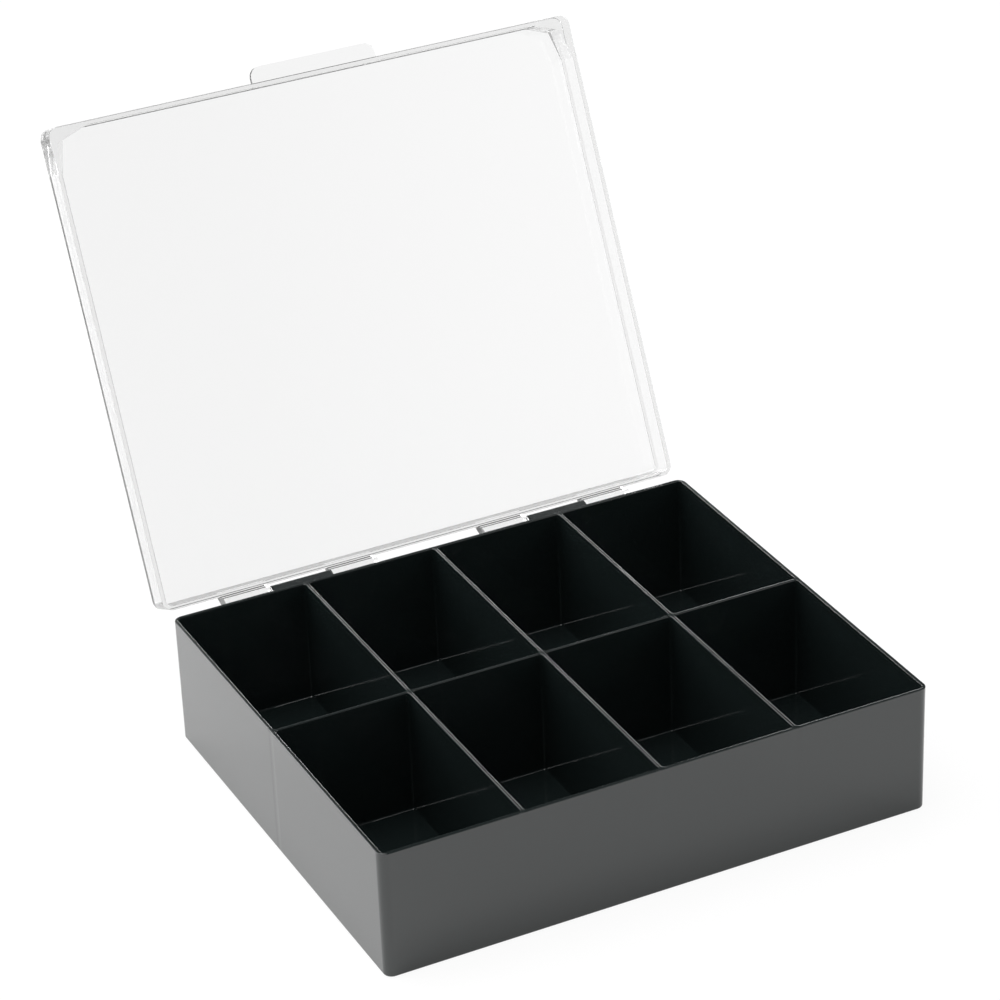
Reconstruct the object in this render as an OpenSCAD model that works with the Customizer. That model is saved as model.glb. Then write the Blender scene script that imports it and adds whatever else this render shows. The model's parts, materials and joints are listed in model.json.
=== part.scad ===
// Tea bag organizer box: a black base with eight compartments and a clear hinged lid.
// Origin: centre of the base's footprint, on its underside. X runs along the hinge, -Y is the
// front with the finger tab, +Z is up. The lid is drawn open, leaning back on its hinge stop.

/* [Base] */
// outer length of the base along the hinge
box_w = 290; // [200:1:400]
// outer depth of the base from front wall to back wall
box_d = 243.4; // [160:0.2:340]
// height of the base from its underside to the rim
box_h = 68; // [45:1:110]
// compartments side by side along the hinge
columns = 4; // [2:1:6]
// compartments from front to back
rows = 2; // [1:1:3]
// outer wall thickness at the rim
wall = 2; // [1.6:0.1:3]
// divider thickness at its top edge
divider = 1.7; // [1.4:0.1:2.6]
// floor thickness
floor_t = 2; // [1.4:0.1:4]
// radius of the four upright outer corners
corner_r = 4.9; // [3:0.1:10]
// how much the outer walls lean in at the underside
outer_draft = 0.35; // [0.1:0.05:1]
// how much each compartment narrows per side towards its floor
inner_draft = 0.55; // [0.2:0.05:1.2]
// radius of the upright corners inside a compartment, at its mouth
pocket_r = 1.6; // [1.4:0.1:3]
// rounding where compartment walls meet the floor
floor_round = 1; // [0.5:0.1:1]
// rounding on the rim and on the divider tops
edge_round = 0.5; // [0.3:0.05:0.6]
// rounding around the underside
foot_round = 1.2; // [0.5:0.1:3]

/* [Lid] */
// depth of the lid from its back skirt to its front skirt
lid_d = 247.2; // [170:0.2:350]
// height of the lid from its free edge to its top face
lid_h = 16.2; // [10:0.2:26]
// skirt thickness where it meets the top panel
lid_wall = 2.5; // [2:0.1:4]
// top panel thickness
lid_top = 1.5; // [1.2:0.1:3.5]
// radius of the four upright outer corners
lid_corner_r = 5.4; // [4:0.1:10]
// rounding around the top face
lid_round = 0.3; // [0.2:0.1:1.4]
// rounding inside, where the skirt meets the top panel
lid_inner_round = 0.8; // [0.3:0.1:2]
// rounding along the skirt's free edge
lid_edge = 0.3; // [0.1:0.05:0.6]
// how much the skirt thins towards its free edge
lid_draft = 0.2; // [0.05:0.05:0.4]
// gap between the closed lid and the rim
seat_gap = 0.3; // [0.2:0.1:0.6]
// finger tab width where it leaves the skirt
tab_w = 68.8; // [40:0.2:110]
// finger tab reach in front of the skirt
tab_reach = 7.8; // [5:0.2:16]
// finger tab thickness
tab_t = 2; // [1.4:0.1:3]
// corner radius of the finger tab
tab_r = 5.4; // [3:0.1:7]
// reach of a corner gusset along the front skirt
gusset_front = 17.5; // [12:0.5:24]
// reach of a corner gusset along the side skirt
gusset_side = 20.5; // [12:0.5:28]
// how far a gusset's inner corner stands off the side skirt
gusset_in = 3.9; // [2:0.1:5]
// how far a gusset's inner corner stands off the front skirt
gusset_back = 4.7; // [2:0.1:6]

/* [Hinge] */
// distance of the hinge axis behind the back wall
hinge_back = 4.15; // [4.1:0.05:6]
// distance of the hinge axis below the rim
hinge_drop = 3.6; // [3.5:0.1:6]
// distance of each hinge's middle from the middle of the box
hinge_x = 72.5; // [58:0.5:90]
// width of the base's knuckle
knuckle_w = 32.4; // [20:0.2:44]
// outer radius of knuckle and ears
knuckle_r = 3.4; // [2.8:0.1:3.4]
// step from the rim down to a knuckle's flat top
knuckle_step = 0.2; // [0.1:0.05:0.4]
// reach of the web below a knuckle's barrel
web_drop = 5; // [3:0.5:10]
// width of each lid ear
ear_w = 25.6; // [12:0.2:26]
// side gap between an ear and the knuckle
ear_gap = 0.6; // [0.3:0.1:1.2]
// reach of an ear's arm up the back skirt
ear_arm = 4.6; // [3:0.2:8]
// how deep an ear's arm stands in the back skirt
ear_bite = 1; // [0.5:0.1:1.5]
// angle on the barrel at which the arm leaves it
ear_angle = 40; // [20:1:60]
// stub pin radius
pin_r = 1.5; // [1.2:0.05:1.8]
// radial clearance of the pin in its bore
pin_fit = 0.07; // [0.03:0.01:0.1]
// length of pin inside the knuckle
pin_in = 5; // [3:0.5:8]
// lean of the open lid past upright
open_lean = 25.9; // [10:0.1:45]
// gap between an ear's heel and the back wall with the lid open
heel_gap = 0.3; // [0.2:0.05:0.5]

/* [Hidden] */
$fn = 48;
slack = 0.5;
heel_inset = 0.1;
half_w = box_w / 2;
half_d = box_d / 2;
pocket_w = (box_w - 2 * wall - (columns - 1) * divider) / columns;
pocket_d = (box_d - 2 * wall - (rows - 1) * divider) / rows;
pocket_low_r = pocket_r - inner_draft;
hinge_y = half_d + hinge_back;
hinge_z = box_h - hinge_drop;
open_turn = -(90 + open_lean);
lid_low = box_h + seat_gap;
lid_high = lid_low + lid_h;
lid_front = half_d - lid_d;
lid_mid = (half_d + lid_front) / 2;
knuckle_top = hinge_drop - knuckle_step;
ear_first = knuckle_w / 2 + ear_gap;
ear_lip = hinge_drop + seat_gap;
ear_rise = ear_lip + ear_arm;
ear_clear = hinge_back - seat_gap;
ear_root = hinge_back + ear_bite;
heel = hinge_back - heel_gap;
heel_low = knuckle_r - heel_inset;

// quarter of a disc in the first quadrant
module quarter(r) {
    intersection() {
        circle(r);
        square(r);
    }
}

// what a convex edge rounding leaves open beside it
module flare(r) {
    difference() {
        square(r);
        translate([r, 0]) circle(r);
    }
}

// edge section of a solid that tapers: low and high are its reach at foot and head, and
// foot and head are the radii of its roundings there
module solid_edge(low, high, tall, foot, head) {
    polygon([
        [0, 0],
        [low - foot, 0],
        [low, foot],
        [high, tall - head],
        [high - head, tall],
        [0, tall]
    ]);
    translate([low - foot, foot]) mirror([0, 1]) quarter(foot);
    translate([high - head, tall - head]) quarter(head);
}

// edge section of a hollow that widens upwards and has a rounded mouth
module hollow_edge(low, high, tall, foot, mouth) {
    polygon([
        [0, 0],
        [low - foot, 0],
        [low, foot],
        [high, tall - mouth],
        [high, tall + slack],
        [0, tall + slack]
    ]);
    translate([low - foot, foot]) mirror([0, 1]) quarter(foot);
    translate([high, tall - mouth]) flare(mouth);
    translate([high, tall]) square([mouth, slack]);
}

// an edge section carried round a rectangle, with its middle filled to the same height
module around(w, d, tall) {
    for (turn = [0, 180]) rotate([0, 0, turn]) {
        translate([w / 2, d / 2, 0]) rotate([90, 0, 0]) linear_extrude(d) children();
        translate([-w / 2, d / 2, 0]) rotate([90, 0, 90]) linear_extrude(w) children();
        translate([w / 2, d / 2, 0]) rotate_extrude(angle = 90) children();
        translate([-w / 2, d / 2, 0]) rotate([0, 0, 90]) rotate_extrude(angle = 90) children();
    }
    translate([-w / 2, -d / 2, 0]) cube([w, d, tall]);
}

// rounded block with tapered sides
module tapered_block(w, d, tall, low, high, foot, head) {
    around(w - 2 * high, d - 2 * high, tall) solid_edge(low, high, tall, foot, head);
}

// rounded hollow with tapered sides and a rounded mouth
module tapered_hollow(w, d, tall, low, high, foot, mouth) {
    around(w - 2 * high, d - 2 * high, tall + slack) hollow_edge(low, high, tall, foot, mouth);
}

// a section drawn in Y and Z about the hinge axis, standing along X from x0
module hinge_slice(x0, w) {
    translate([x0, hinge_y, hinge_z]) rotate([90, 0, 90]) linear_extrude(w) children();
}

// knuckle on the base's back wall: barrel, flat top flush with the rim and a sloping web
module knuckle() {
    hinge_slice(-knuckle_w / 2, knuckle_w) {
        circle(knuckle_r);
        polygon([
            [0, knuckle_top],
            [-hinge_back - wall / 2, knuckle_top],
            [-hinge_back - wall / 2, -knuckle_r - web_drop],
            [-hinge_back, -knuckle_r - web_drop],
            [0, -knuckle_r],
        ]);
    }
}

// pin or bore along the hinge axis
module hinge_rod(x0, w, r) {
    translate([x0, hinge_y, hinge_z]) rotate([0, 90, 0]) cylinder(h = w, r = r);
}

// one lid ear: barrel, arm up to the skirt, heel that meets the back wall when open
module ear() {
    hinge_slice(ear_first, ear_w) {
        circle(knuckle_r);
        polygon([
            [0, 0],
            [-ear_clear, 0],
            [-ear_clear, ear_lip],
            [-ear_root, ear_lip],
            [-ear_root, ear_rise],
            [-hinge_back, ear_rise],
            [knuckle_r * cos(ear_angle), knuckle_r * sin(ear_angle)],
        ]);
        rotate(-open_turn) translate([-heel, -heel_low]) square([heel, heel_low]);
    }
}

module base() {
    color([0.05, 0.055, 0.06])
    difference() {
        union() {
            tapered_block(box_w, box_d, box_h, corner_r - outer_draft, corner_r, foot_round, edge_round);
            for (side = [-1, 1]) translate([side * hinge_x, 0, 0]) knuckle();
        }
        for (i = [0 : columns - 1], j = [0 : rows - 1])
            translate([
                -half_w + wall + pocket_w / 2 + i * (pocket_w + divider),
                -half_d + wall + pocket_d / 2 + j * (pocket_d + divider),
                floor_t
            ])
                tapered_hollow(pocket_w, pocket_d, box_h - floor_t, pocket_low_r, pocket_r,
                    floor_round, edge_round);
        for (side = [-1, 1], end = [0, 1]) translate([side * hinge_x, 0, 0]) mirror([end, 0, 0])
            hinge_rod(knuckle_w / 2 - pin_in - slack, pin_in + 2 * slack, pin_r + pin_fit);
    }
}

// finger tab: a flat tongue with rounded front corners, level with the skirt's free edge
module tab() {
    tab_mid = tab_w / 2 - tab_r;
    translate([0, lid_front, lid_low]) linear_extrude(tab_t) {
        translate([-tab_mid, -tab_reach]) square([2 * tab_mid, tab_reach + lid_wall]);
        translate([-tab_w / 2, -tab_reach + tab_r]) square([tab_w, tab_reach - tab_r + lid_wall]);
        for (side = [-1, 1]) translate([side * tab_mid, -tab_reach + tab_r]) circle(tab_r);
    }
}

// thickening inside a front corner, which rests on the base's corner when the lid is shut
module gusset() {
    corner_x = half_w - lid_wall + slack;
    corner_y = lid_front + lid_wall - slack;
    translate([0, 0, lid_low]) linear_extrude(lid_h - lid_top + slack) polygon([
        [corner_x, corner_y],
        [corner_x, corner_y + gusset_side + slack],
        [corner_x - slack, corner_y + gusset_side + slack],
        [corner_x - slack - gusset_in, corner_y + slack + gusset_back],
        [corner_x - gusset_front - slack, corner_y + slack],
        [corner_x - gusset_front - slack, corner_y]
    ]);
}

// the lid as it sits when shut
module lid_shut() {
    difference() {
        translate([0, lid_mid, lid_low])
            tapered_block(box_w, lid_d, lid_h, lid_corner_r, lid_corner_r, lid_edge, lid_round);
        translate([0, lid_mid, lid_high - lid_top]) mirror([0, 0, 1])
            tapered_hollow(box_w - 2 * lid_wall + 2 * lid_draft, lid_d - 2 * lid_wall + 2 * lid_draft,
                lid_h - lid_top, lid_corner_r - lid_wall, lid_corner_r - lid_wall + lid_draft,
                lid_inner_round, lid_edge);
    }
    for (end = [0, 1]) mirror([end, 0, 0]) gusset();
    tab();
    for (side = [-1, 1], end = [0, 1]) translate([side * hinge_x, 0, 0]) mirror([end, 0, 0]) {
        ear();
        hinge_rod(knuckle_w / 2 - pin_in, pin_in + ear_gap + slack, pin_r);
    }
}

// the lid swung open about the hinge axis
module lid() {
    color([0.93, 0.95, 0.95, 0.35])
    translate([0, hinge_y, hinge_z]) rotate([open_turn, 0, 0]) translate([0, -hinge_y, -hinge_z])
        lid_shut();
}

base();
lid();
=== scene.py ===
import json
import math

import bpy
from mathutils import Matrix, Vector

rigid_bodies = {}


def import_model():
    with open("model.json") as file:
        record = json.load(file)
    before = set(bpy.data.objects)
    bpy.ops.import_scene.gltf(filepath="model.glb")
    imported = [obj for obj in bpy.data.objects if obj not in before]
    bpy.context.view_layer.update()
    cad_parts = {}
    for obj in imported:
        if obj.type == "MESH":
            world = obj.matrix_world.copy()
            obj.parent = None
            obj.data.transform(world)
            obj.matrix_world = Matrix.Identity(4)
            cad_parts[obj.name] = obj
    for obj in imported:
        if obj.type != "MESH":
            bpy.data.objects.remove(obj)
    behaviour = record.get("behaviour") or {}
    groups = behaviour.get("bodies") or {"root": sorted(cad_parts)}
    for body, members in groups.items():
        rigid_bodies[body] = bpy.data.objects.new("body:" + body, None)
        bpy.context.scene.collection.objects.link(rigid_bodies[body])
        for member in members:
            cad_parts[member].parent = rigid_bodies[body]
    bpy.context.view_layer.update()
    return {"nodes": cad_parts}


for leftover in list(bpy.data.objects):
    bpy.data.objects.remove(leftover)

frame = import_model()
bpy.ops.object.select_all(action="DESELECT")
baseNode = frame["nodes"]["base"]
lidNode = frame["nodes"]["lid"]
print("frame loaded:", sorted(frame["nodes"]))

plainWhite = (1.0, 1.0, 1.0, 1.0)


def linearColour(hexCode):
    # the sRGB curve, undone for each channel
    channels = []
    for start in (0, 2, 4):
        shown = int(hexCode[start:start + 2], 16) / 255
        channels.append(shown / 12.92 if shown <= 0.04045 else ((shown + 0.055) / 1.055) ** 2.4)
    return (*channels, 1.0)


def addNode(tree, kind, settings=None, **inputs):
    # inputs are sockets to link or plain values, named with underscores, or i0, i1 by number
    node = tree.nodes.new(kind)
    for name, value in (settings or {}).items():
        setattr(node, name, value)
    for name, value in inputs.items():
        byNumber = name[0] == "i" and name[1:].isdigit()
        socket = node.inputs[int(name[1:]) if byNumber else name.replace("_", " ")]
        if isinstance(value, bpy.types.NodeSocket):
            tree.links.new(value, socket)
        else:
            socket.default_value = value
    return node


def newMaterial(name):
    material = bpy.data.materials.new(name)
    material.use_nodes = True
    material.node_tree.nodes.clear()
    return material, material.node_tree


# camera
cameraSet = {
    "place": (-0.73007, -1.47983, 1.05640),  # metres, in the box's own frame
    "turn": (61.3125, 1.8528, -26.9513),  # degrees about X, Y, Z
    "lens": 142.0,  # millimetres
    "film": 36.0,  # width of the film, millimetres
    "shift": (-0.0179, -0.0019),
    "clip": (0.05, 50.0),
    "bounces": 48,  # clear walls seen edge on pass light back and forth many times
    "glossyBounces": 16,
}
cameraData = bpy.data.cameras.new("camera")
cameraData.lens = cameraSet["lens"]
cameraData.sensor_width = cameraSet["film"]
cameraData.shift_x, cameraData.shift_y = cameraSet["shift"]
cameraData.clip_start, cameraData.clip_end = cameraSet["clip"]
camera = bpy.data.objects.new("camera", cameraData)
bpy.context.scene.collection.objects.link(camera)
camera.location = cameraSet["place"]
camera.rotation_euler = [math.radians(angle) for angle in cameraSet["turn"]]
bpy.context.scene.camera = camera
bpy.context.scene.view_settings.view_transform = "Standard"
bpy.context.scene.cycles.max_bounces = cameraSet["bounces"]
bpy.context.scene.cycles.glossy_bounces = cameraSet["glossyBounces"]
bpy.context.scene.cycles.transmission_bounces = cameraSet["bounces"]
print("camera placed")


# Black polystyrene, injection moulded in a polished tool: a deep black that shows the room
# in its faces, with a slow ripple from the melt and a faint hollow over each divider behind.
blackSet = {
    "colour": "141A1A",
    "ior": 1.59,
    "roughLow": 0.05,
    "roughHigh": 0.11,
    "skin": 0.3,  # weight of the polished outer skin
    "skinRough": 0.03,
    "rippleSize": 0.014,  # metres from crest to crest
    "rippleDepth": 0.00002,
    "rippleDetail": 2.0,
    "rippleFall": 0.45,  # share that each finer layer of the ripple keeps
    "hazeSize": 0.045,  # metres across a patch of haze
    "hazeDetail": 5.0,
    "hazeFall": 0.6,
    "hazeBand": (0.35, 0.7),  # noise levels that give the lowest and the highest roughness
    "sinkHalf": 0.0035,  # metres from the middle of a hollow to its edge
    "sinkDepth": 0.00006,
    "width": 0.290,
    "depth": 0.2434,
    "wall": 0.002,
    "divider": 0.0017,
    "cells": 4,  # compartments from side to side
    "faceSkin": 0.0007,  # a point this near an outer face counts as on it
    "crossReach": 0.1,  # metres from the middle, past the last cross divider
}


def blackStyrene():
    material, tree = newMaterial("blackStyreneMoulded")
    coords = addNode(tree, "ShaderNodeTexCoord").outputs["Object"]
    ripple = addNode(tree, "ShaderNodeTexNoise", Vector=coords, Scale=1 / blackSet["rippleSize"],
                     Detail=blackSet["rippleDetail"], Roughness=blackSet["rippleFall"])
    haze = addNode(tree, "ShaderNodeTexNoise", Vector=coords, Scale=1 / blackSet["hazeSize"],
                   Detail=blackSet["hazeDetail"], Roughness=blackSet["hazeFall"])
    hazeLow, hazeHigh = blackSet["hazeBand"]
    rough = addNode(tree, "ShaderNodeMapRange", Value=haze.outputs["Fac"], From_Min=hazeLow,
                    From_Max=hazeHigh, To_Min=blackSet["roughLow"], To_Max=blackSet["roughHigh"])
    # sink hollows: on the two ends at the long divider, on front and back at the cross dividers
    pitch = (blackSet["width"] - 2 * blackSet["wall"] + blackSet["divider"]) / blackSet["cells"]
    endFace = blackSet["width"] / 2 - blackSet["faceSkin"]
    longFace = blackSet["depth"] / 2 - blackSet["faceSkin"]
    split = addNode(tree, "ShaderNodeSeparateXYZ", Vector=coords)
    farX = addNode(tree, "ShaderNodeMath", {"operation": "ABSOLUTE"}, i0=split.outputs["X"]).outputs[0]
    farY = addNode(tree, "ShaderNodeMath", {"operation": "ABSOLUTE"}, i0=split.outputs["Y"]).outputs[0]
    onEnd = addNode(tree, "ShaderNodeMath", {"operation": "GREATER_THAN"}, i0=farX, i1=endFace).outputs[0]
    onLong = addNode(tree, "ShaderNodeMath", {"operation": "GREATER_THAN"}, i0=farY, i1=longFace).outputs[0]
    crossGap = addNode(tree, "ShaderNodeMath", {"operation": "PINGPONG"}, i0=farX, i1=pitch / 2).outputs[0]
    notCorner = addNode(tree, "ShaderNodeMath", {"operation": "LESS_THAN"}, i0=farX,
                        i1=blackSet["crossReach"]).outputs[0]
    hollows = []
    for gap, masks in ((farY, (onEnd,)), (crossGap, (onLong, notCorner))):
        band = addNode(tree, "ShaderNodeMapRange", {"interpolation_type": "SMOOTHERSTEP"}, Value=gap,
                       From_Min=0.0, From_Max=blackSet["sinkHalf"], To_Min=1.0, To_Max=0.0).outputs[0]
        for mask in masks:
            band = addNode(tree, "ShaderNodeMath", {"operation": "MULTIPLY"}, i0=band, i1=mask).outputs[0]
        hollows.append(band)
    sink = addNode(tree, "ShaderNodeMath", {"operation": "MAXIMUM"}, i0=hollows[0], i1=hollows[1]).outputs[0]
    rippleBump = addNode(tree, "ShaderNodeBump", Height=ripple.outputs["Fac"], Strength=1.0,
                         Distance=blackSet["rippleDepth"])
    sinkBump = addNode(tree, "ShaderNodeBump", {"invert": True}, Height=sink, Strength=1.0,
                       Distance=blackSet["sinkDepth"], Normal=rippleBump.outputs["Normal"])
    shader = addNode(tree, "ShaderNodeBsdfPrincipled", Base_Color=linearColour(blackSet["colour"]),
                     IOR=blackSet["ior"], Roughness=rough.outputs[0], Normal=sinkBump.outputs["Normal"],
                     Coat_Weight=blackSet["skin"], Coat_Roughness=blackSet["skinRough"])
    addNode(tree, "ShaderNodeOutputMaterial", Surface=shader.outputs[0])
    return material


# Clear crystal polystyrene, injection moulded and polished: almost without colour face on,
# greyer where the sight line runs along a wall, with a slow ripple that bends what is behind.
clearSet = {
    "colour": "FAFAFA",
    "ior": 1.57,
    "rough": 0.012,
    "cornerHaze": 0.09,  # added roughness at the two corners with gussets
    "cornerSide": 0.127,  # the haze starts this far from the middle, in metres
    "cornerStart": 0.3413,  # and this far from the frame's origin, measured up the panel
    "lean": 25.9,  # degrees that the open panel leans past upright
    "rippleSize": 0.03,
    "rippleDepth": 0.000012,
    "rippleDetail": 2.0,
    "rippleFall": 0.4,
    "shade": "F0F0F0",  # what lamps keep of their light through the lid
    "depthColour": "BCBCBC",
    "depthDensity": 16.0,
}


def clearStyrene():
    material, tree = newMaterial("clearStyreneMoulded")
    coords = addNode(tree, "ShaderNodeTexCoord").outputs["Object"]
    ripple = addNode(tree, "ShaderNodeTexNoise", Vector=coords, Scale=1 / clearSet["rippleSize"],
                     Detail=clearSet["rippleDetail"], Roughness=clearSet["rippleFall"])
    bump = addNode(tree, "ShaderNodeBump", Height=ripple.outputs["Fac"], Strength=1.0,
                   Distance=clearSet["rippleDepth"])
    # the haze lies only on the panel's two far corners
    lean = math.radians(clearSet["lean"])
    panelUp = (0.0, math.sin(lean), math.cos(lean))
    split = addNode(tree, "ShaderNodeSeparateXYZ", Vector=coords)
    farX = addNode(tree, "ShaderNodeMath", {"operation": "ABSOLUTE"}, i0=split.outputs["X"]).outputs[0]
    atSide = addNode(tree, "ShaderNodeMath", {"operation": "GREATER_THAN"}, i0=farX,
                     i1=clearSet["cornerSide"]).outputs[0]
    along = addNode(tree, "ShaderNodeVectorMath", {"operation": "DOT_PRODUCT"}, i0=coords,
                    i1=panelUp).outputs["Value"]
    atEnd = addNode(tree, "ShaderNodeMath", {"operation": "GREATER_THAN"}, i0=along,
                    i1=clearSet["cornerStart"]).outputs[0]
    corner = addNode(tree, "ShaderNodeMath", {"operation": "MULTIPLY"}, i0=atSide, i1=atEnd).outputs[0]
    rough = addNode(tree, "ShaderNodeMath", {"operation": "MULTIPLY_ADD"}, i0=corner,
                    i1=clearSet["cornerHaze"], i2=clearSet["rough"]).outputs[0]
    shader = addNode(tree, "ShaderNodeBsdfPrincipled", Base_Color=linearColour(clearSet["colour"]),
                     IOR=clearSet["ior"], Roughness=rough, Transmission_Weight=1.0,
                     Normal=bump.outputs["Normal"])
    # lamps reach through the lid, a little dimmed
    passing = addNode(tree, "ShaderNodeBsdfTransparent", Color=linearColour(clearSet["shade"]))
    path = addNode(tree, "ShaderNodeLightPath")
    both = addNode(tree, "ShaderNodeMixShader", Fac=path.outputs["Is Shadow Ray"],
                   i1=shader.outputs[0], i2=passing.outputs[0])
    depth = addNode(tree, "ShaderNodeVolumeAbsorption", Color=linearColour(clearSet["depthColour"]),
                    Density=clearSet["depthDensity"])
    addNode(tree, "ShaderNodeOutputMaterial", Surface=both.outputs[0], Volume=depth.outputs[0])
    return material


def dress(node, material):
    for slot in node.material_slots:
        slot.material = material


dress(baseNode, blackStyrene())
dress(lidNode, clearStyrene())
print("materials set")


# floor and studio
studioSet = {
    "floorHalf": 4.0,
    "floorDrop": 0.0002,  # metres below the box, so that the two faces never coincide
    "floorColour": "F4F4F4",
    "floorGlow": 0.92,  # share of the floor that is plain white to the eye and through clear walls
    "floorMirror": 0.35,  # and in reflections, where the lit paper shows more
    "grainScale": 900.0,  # paper grains in a metre
    "grainDetail": 2.0,
    "grainStrength": 0.1,
    "grainDepth": 0.0001,
    "roomFill": 0.6,
    "roomLow": 1.0,  # what glossy and clear faces see near the horizon
    "roomHigh": 0.05,  # and overhead
    "roomThrough": 0.2,  # the least that clear walls see
    "dimSlant": 0.5,  # the room dims sooner to the right
    "dimBand": (0.1, 0.35),
    "windowBand": (0.26, 0.5),  # a bright wall in front, to the right
    "wallSpot": (0.43, 0.79, 0.435),  # direction of a dim pale patch on the wall behind
    "wallBand": (0.983, 0.9985),
    "wallLevel": 0.15,
}


def makeFloor():
    floorPlace = (0, 0, -studioSet["floorDrop"])
    bpy.ops.mesh.primitive_plane_add(size=2 * studioSet["floorHalf"], location=floorPlace)
    floor = bpy.context.active_object
    floor.name = "studioFloor"
    material, tree = newMaterial("floorPaper")
    coords = addNode(tree, "ShaderNodeTexCoord").outputs["Object"]
    path = addNode(tree, "ShaderNodeLightPath").outputs
    grain = addNode(tree, "ShaderNodeTexNoise", Vector=coords, Scale=studioSet["grainScale"],
                    Detail=studioSet["grainDetail"])
    bump = addNode(tree, "ShaderNodeBump", Height=grain.outputs["Fac"],
                   Strength=studioSet["grainStrength"], Distance=studioSet["grainDepth"])
    paper = addNode(tree, "ShaderNodeBsdfDiffuse", Color=linearColour(studioSet["floorColour"]),
                    Normal=bump.outputs["Normal"])
    white = addNode(tree, "ShaderNodeEmission", Color=plainWhite, Strength=1.0)
    rayShares = {
        "Is Camera Ray": studioSet["floorGlow"],
        "Is Transmission Ray": studioSet["floorGlow"],
        "Is Glossy Ray": studioSet["floorMirror"],
    }
    glow = 0.0
    for ray, share in rayShares.items():
        part = addNode(tree, "ShaderNodeMath", {"operation": "MULTIPLY"}, i0=path[ray], i1=share).outputs[0]
        glow = addNode(tree, "ShaderNodeMath", {"operation": "MAXIMUM"}, i0=glow, i1=part).outputs[0]
    both = addNode(tree, "ShaderNodeMixShader", Fac=glow, i1=paper.outputs[0], i2=white.outputs[0])
    addNode(tree, "ShaderNodeOutputMaterial", Surface=both.outputs[0])
    floor.data.materials.append(material)


def makeRoom():
    world = bpy.data.worlds.new("studioRoom")
    bpy.context.scene.world = world
    world.use_nodes = True
    tree = world.node_tree
    tree.nodes.clear()
    path = addNode(tree, "ShaderNodeLightPath").outputs
    toward = addNode(tree, "ShaderNodeTexCoord").outputs["Generated"]
    part = addNode(tree, "ShaderNodeSeparateXYZ", Vector=toward).outputs
    height = addNode(tree, "ShaderNodeMath", {"operation": "MULTIPLY_ADD"}, i0=part["X"],
                     i1=studioSet["dimSlant"], i2=part["Z"]).outputs[0]
    aim = addNode(tree, "ShaderNodeVectorMath", {"operation": "DOT_PRODUCT"}, i0=toward,
                  i1=studioSet["wallSpot"]).outputs["Value"]
    # three soft edges: the sky from low to high, the bright wall in front, the patch behind
    levels = []
    for value, band, low, high in (
        (height, "dimBand", studioSet["roomLow"], studioSet["roomHigh"]),
        (part["X"], "windowBand", 0.0, 1.0),
        (aim, "wallBand", 0.0, studioSet["wallLevel"]),
    ):
        start, end = studioSet[band]
        levels.append(addNode(tree, "ShaderNodeMapRange", {"interpolation_type": "SMOOTHSTEP"}, Value=value,
                              From_Min=start, From_Max=end, To_Min=low, To_Max=high).outputs[0])
    sky, side, patch = levels
    ahead = addNode(tree, "ShaderNodeMath", {"operation": "LESS_THAN"}, i0=part["Y"], i1=0.0).outputs[0]
    window = addNode(tree, "ShaderNodeMath", {"operation": "MULTIPLY"}, i0=ahead, i1=side).outputs[0]
    through = addNode(tree, "ShaderNodeMath", {"operation": "MULTIPLY"}, i0=path["Is Transmission Ray"],
                      i1=studioSet["roomThrough"]).outputs[0]
    # the eye sees plain white, and the brightest of the others wins elsewhere
    shown = sky
    for other in (through, window, patch, path["Is Camera Ray"]):
        shown = addNode(tree, "ShaderNodeMath", {"operation": "MAXIMUM"}, i0=shown, i1=other).outputs[0]
    looking = path["Is Camera Ray"]
    for other in (path["Is Glossy Ray"], path["Is Transmission Ray"]):
        looking = addNode(tree, "ShaderNodeMath", {"operation": "MAXIMUM"}, i0=looking, i1=other).outputs[0]
    fill = addNode(tree, "ShaderNodeBackground", Color=plainWhite, Strength=studioSet["roomFill"])
    backdrop = addNode(tree, "ShaderNodeBackground", Color=plainWhite, Strength=shown)
    both = addNode(tree, "ShaderNodeMixShader", Fac=looking, i1=fill.outputs[0], i2=backdrop.outputs[0])
    addNode(tree, "ShaderNodeOutputWorld", Surface=both.outputs[0])


lampAim = (0.0, 0.0, 0.1)
lampSet = {
    # place, width in metres and watts
    "softboxAbove": ((-0.5, 0.2, 2.0), 1.3, 32.0),
    "softboxLeft": ((-1.7, 0.8, 1.0), 1.2, 15.0),
    "softboxRight": ((1.9, -1.4, 1.2), 1.0, 7.0),
    "stripBackLeft": ((-1.2, 2.0, 1.0), 0.9, 14.0),
    "stripBackRight": ((1.5, 2.0, 0.6), 0.9, 14.0),
}


def makeLamp(name, place, size, watts):
    data = bpy.data.lights.new(name, "AREA")
    data.shape = "SQUARE"
    data.size = size
    data.energy = watts
    lamp = bpy.data.objects.new(name, data)
    bpy.context.scene.collection.objects.link(lamp)
    lamp.location = place
    lamp.rotation_euler = (Vector(lampAim) - Vector(place)).to_track_quat("-Z", "Y").to_euler()


makeFloor()
makeRoom()
for lampName, lampValues in lampSet.items():
    makeLamp(lampName, *lampValues)
print("studio set")

bpy.context.view_layer.update()
